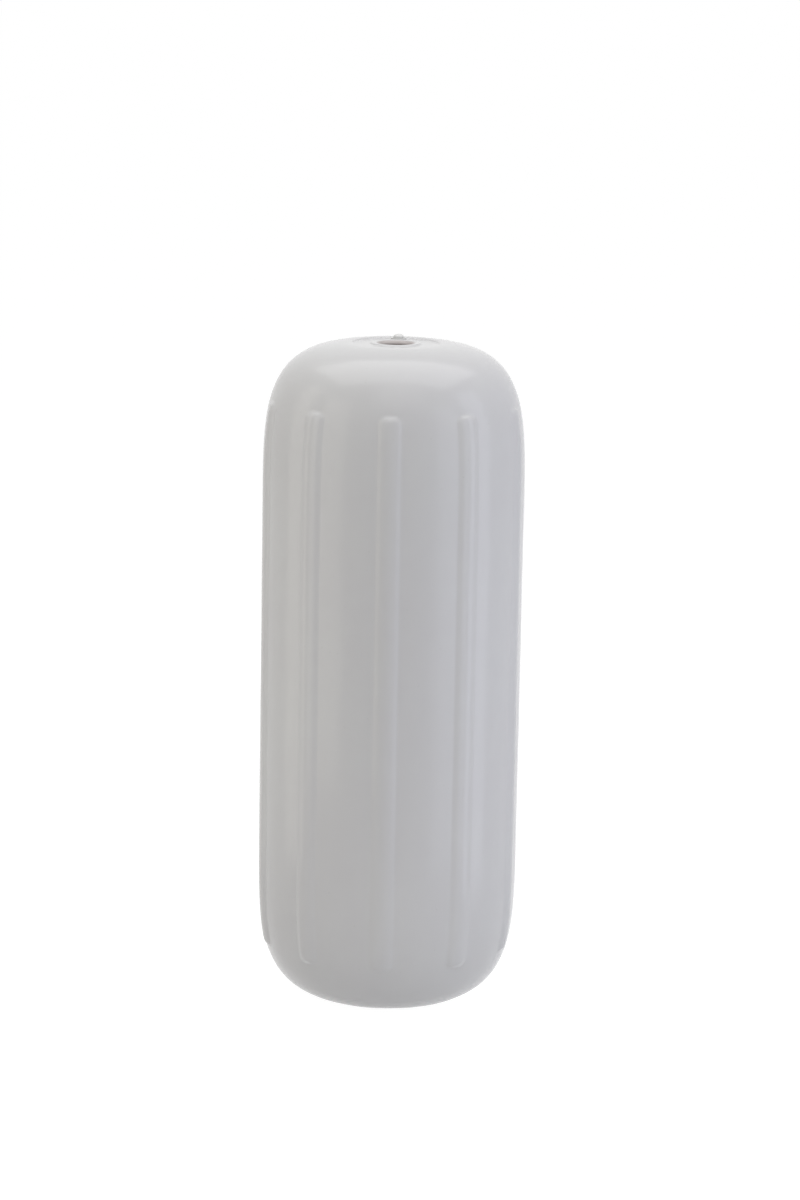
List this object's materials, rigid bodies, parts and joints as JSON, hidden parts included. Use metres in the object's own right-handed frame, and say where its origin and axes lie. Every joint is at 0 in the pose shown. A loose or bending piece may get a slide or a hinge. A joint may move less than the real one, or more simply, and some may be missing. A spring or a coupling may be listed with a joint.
{
  "type": "boat fender",
  "caption": "Inflatable ribbed vinyl boat fender with round shoulders, a rope tube through its middle and a screwed air valve in one end.",
  "frame": {"origin": "middle of the lower end, on the surface that the fender stands on", "axes": "+Z along the rope tube, up towards the end with the valve. -Y towards the viewer of the picture, through the middle of a rib."},
  "size_m": [0.2678, 0.2744, 0.6904],
  "materials": {
    "white_vinyl": "glossy soft vinyl, white, slightly uneven from the mould",
    "valve_sleeve": "satin soft vinyl, pale grey",
    "valve_plug": "glossy hard plastic, white"
  },
  "bodies": {
    "root": {"fender_body": "white_vinyl", "valve_body": "valve_sleeve", "valve_screw": "valve_plug"}
  },
  "joints": []
}
